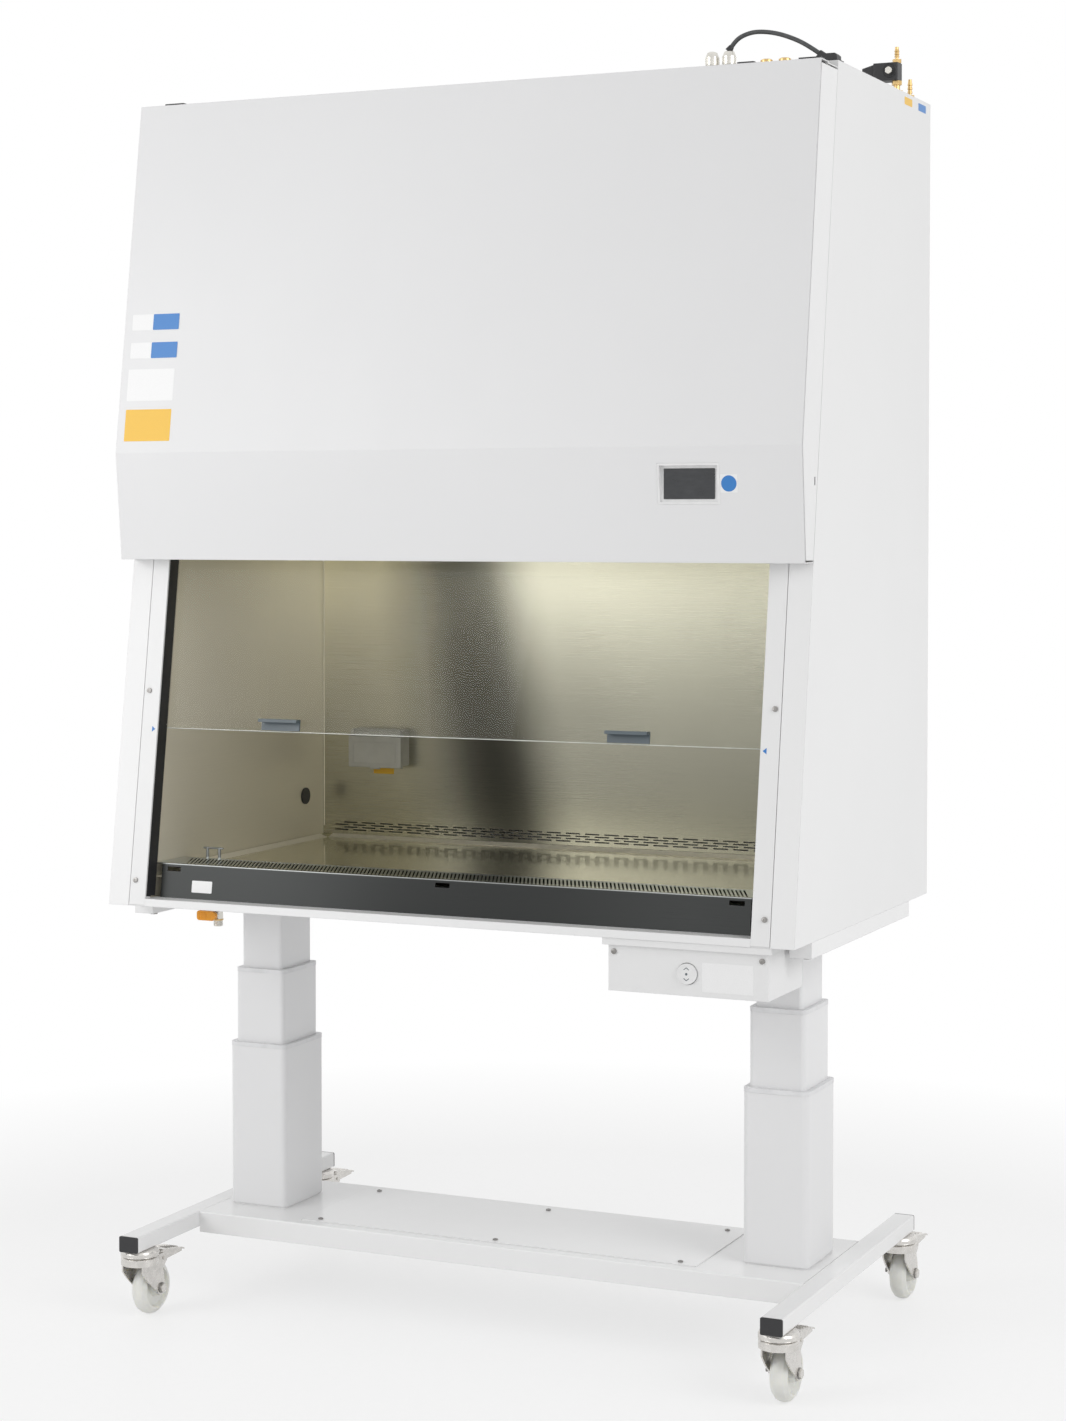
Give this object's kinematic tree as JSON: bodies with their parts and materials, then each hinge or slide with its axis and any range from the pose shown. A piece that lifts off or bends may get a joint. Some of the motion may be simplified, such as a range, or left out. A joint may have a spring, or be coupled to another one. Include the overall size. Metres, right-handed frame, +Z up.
{
  "type": "biosafety cabinet",
  "caption": "Laboratory biosafety cabinet with a sliding sash and hinged front cover, on a telescopic lifting stand with swivel casters.",
  "frame": {"origin": "on the floor, under the middle of the whole machine's plan", "axes": "+X to the right of someone facing the work opening, +Y to the back, +Z up"},
  "size_m": [1.35, 0.85, 2.386],
  "materials": {
    "stand_paint": "light grey powder coat",
    "shell_paint": "white powder coat",
    "hood_paint": "white powder coat",
    "column_alu": "white paint on extruded aluminium",
    "white_plastic": "moulded",
    "slate_plastic": "moulded",
    "stainless": "brushed",
    "zinc": "zinc plated",
    "nickel": "nickel plated",
    "brass": "plain",
    "black_plastic": "moulded",
    "grey_plastic": "moulded",
    "white_nylon": "moulded",
    "cable_rubber": "extruded",
    "amber_plastic": "moulded",
    "glass": "laminated safety glass",
    "filter_media": "filter frame and pleats",
    "galvanised": "galvanised sheet",
    "cast": "plain"
  },
  "bodies": {
    "stand": {"stand_legs": "stand_paint", "leg_end_caps": "black_plastic", "base_platform": "stand_paint", "platform_cover": "stand_paint", "platform_screws": "zinc", "outer_columns": "column_alu", "outer_collars": "white_plastic", "caster_heads": "zinc"},
    "middle_stage": {"middle_columns": "column_alu", "middle_collars": "white_plastic"},
    "cabinet": {"inner_columns": "column_alu", "support_frame": "stand_paint", "side_panels": "shell_paint", "back_panel": "shell_paint", "roof_panel": "shell_paint", "floor_pan": "shell_paint", "hood_cheeks": "shell_paint", "pillar_covers": "shell_paint", "cabinet_screws": "zinc", "chamber_side_walls": "stainless", "chamber_back_wall": "stainless", "work_tray": "stainless", "front_grille": "stainless", "sash_guides": "black_plastic", "air_diffuser": "stainless", "hepa_filters": "filter_media", "fan_housing": "galvanised", "fan_motor": "cast", "lamp": "galvanised", "socket_box": "grey_plastic", "drain_valve": "nickel", "control_box": "shell_paint", "control_box_lid": "shell_paint", "cable_glands": "nickel", "roof_cable": "cable_rubber", "black_fittings": "black_plastic", "brass_fittings": "brass", "solenoid_valve": "black_plastic"},
    "sash": {"sash_glass": "glass", "sash_handles": "slate_plastic"},
    "weights": {"counterweights": "cast"},
    "pulley": {"pulley_shaft": "galvanised"},
    "impeller": {"fan_impeller": "galvanised"},
    "hood": {"front_cover": "hood_paint", "display_panel": "white_plastic"},
    "socket_flap": {"socket_cover": "grey_plastic"},
    "lift_button": {"control_button": "white_plastic"},
    "valve_lever": {"drain_handle": "amber_plastic"},
    "front_left_caster": {"front_left_fork": "zinc"},
    "front_left_roller": {"front_left_wheel": "white_nylon"},
    "front_left_brake": {"front_left_brake_pedal": "zinc"},
    "front_right_caster": {"front_right_fork": "zinc"},
    "front_right_roller": {"front_right_wheel": "white_nylon"},
    "front_right_brake": {"front_right_brake_pedal": "zinc"},
    "rear_left_caster": {"rear_left_fork": "zinc"},
    "rear_left_roller": {"rear_left_wheel": "white_nylon"},
    "rear_left_brake": {"rear_left_brake_pedal": "zinc"},
    "rear_right_caster": {"rear_right_fork": "zinc"},
    "rear_right_roller": {"rear_right_wheel": "white_nylon"},
    "rear_right_brake": {"rear_right_brake_pedal": "zinc"}
  },
  "joints": [
    {"name": "lift", "type": "slide", "parent": "stand", "child": "cabinet", "axis": [0, 0, 1], "range_m": [-0.24, 0.11]},
    {"name": "middle_lift", "type": "slide", "parent": "stand", "child": "middle_stage", "axis": [0, 0, 1], "range_m": [-0.12, 0.055]},
    {"name": "sash_slide", "type": "slide", "parent": "cabinet", "child": "sash", "axis": [0, 0.1426, 0.9898], "range_m": [-0.248, 0.29]},
    {"name": "counterweight_slide", "type": "slide", "parent": "cabinet", "child": "weights", "axis": [0, 0, 1], "range_m": [-0.29, 0.248]},
    {"name": "pulley_turn", "type": "hinge", "parent": "cabinet", "child": "pulley", "pos_m": [0, -0.1592, 2.235], "axis": [1, 0, 0], "range_deg": [-600, 600]},
    {"name": "impeller_spin", "type": "hinge", "parent": "cabinet", "child": "impeller", "pos_m": [0, 0.045, 1.88], "axis": [1, 0, 0], "continuous": true},
    {"name": "hood_hinge", "type": "hinge", "parent": "cabinet", "child": "hood", "pos_m": [0, -0.25399, 2.289], "axis": [-1, 0, 0], "range_deg": [0, 55]},
    {"name": "socket_flap_hinge", "type": "hinge", "parent": "cabinet", "child": "socket_flap", "pos_m": [-0.458, 0.235, 1.068], "axis": [-1, 0, 0], "range_deg": [0, 100]},
    {"name": "lift_button_rock", "type": "hinge", "parent": "cabinet", "child": "lift_button", "pos_m": [0.48, -0.409, 0.732], "axis": [1, 0, 0], "range_deg": [-3.5, 3.5], "stiffness_Nm_per_rad": 0.5},
    {"name": "valve_lever_turn", "type": "hinge", "parent": "cabinet", "child": "valve_lever", "pos_m": [-0.485, -0.3613, 0.767], "axis": [0, -1, 0], "range_deg": [0, 90]},
    {"name": "front_left_swivel", "type": "hinge", "parent": "stand", "child": "front_left_caster", "pos_m": [-0.636, -0.385, 0.11], "axis": [0, 0, 1], "continuous": true},
    {"name": "front_left_roll", "type": "hinge", "parent": "front_left_caster", "child": "front_left_roller", "pos_m": [-0.636, -0.347, 0.05], "axis": [1, 0, 0], "continuous": true},
    {"name": "front_left_brake_press", "type": "hinge", "parent": "front_left_caster", "child": "front_left_brake", "pos_m": [-0.636, -0.339, 0.105], "axis": [-1, 0, 0], "range_deg": [0, 8]},
    {"name": "front_right_swivel", "type": "hinge", "parent": "stand", "child": "front_right_caster", "pos_m": [0.636, -0.385, 0.11], "axis": [0, 0, 1], "continuous": true},
    {"name": "front_right_roll", "type": "hinge", "parent": "front_right_caster", "child": "front_right_roller", "pos_m": [0.636, -0.347, 0.05], "axis": [1, 0, 0], "continuous": true},
    {"name": "front_right_brake_press", "type": "hinge", "parent": "front_right_caster", "child": "front_right_brake", "pos_m": [0.636, -0.339, 0.105], "axis": [-1, 0, 0], "range_deg": [0, 8]},
    {"name": "rear_left_swivel", "type": "hinge", "parent": "stand", "child": "rear_left_caster", "pos_m": [-0.636, 0.303, 0.11], "axis": [0, 0, 1], "continuous": true},
    {"name": "rear_left_roll", "type": "hinge", "parent": "rear_left_caster", "child": "rear_left_roller", "pos_m": [-0.636, 0.341, 0.05], "axis": [1, 0, 0], "continuous": true},
    {"name": "rear_left_brake_press", "type": "hinge", "parent": "rear_left_caster", "child": "rear_left_brake", "pos_m": [-0.636, 0.349, 0.105], "axis": [-1, 0, 0], "range_deg": [0, 8]},
    {"name": "rear_right_swivel", "type": "hinge", "parent": "stand", "child": "rear_right_caster", "pos_m": [0.636, 0.303, 0.11], "axis": [0, 0, 1], "continuous": true},
    {"name": "rear_right_roll", "type": "hinge", "parent": "rear_right_caster", "child": "rear_right_roller", "pos_m": [0.636, 0.341, 0.05], "axis": [1, 0, 0], "continuous": true},
    {"name": "rear_right_brake_press", "type": "hinge", "parent": "rear_right_caster", "child": "rear_right_brake", "pos_m": [0.636, 0.349, 0.105], "axis": [-1, 0, 0], "range_deg": [0, 8]}
  ],
  "couplings": [
    {"joint": "middle_lift", "follows": "lift", "ratio": 0.5},
    {"joint": "counterweight_slide", "follows": "sash_slide", "ratio": -1},
    {"joint": "pulley_turn", "follows": "sash_slide", "rad_per_m": -33.333}
  ]
}
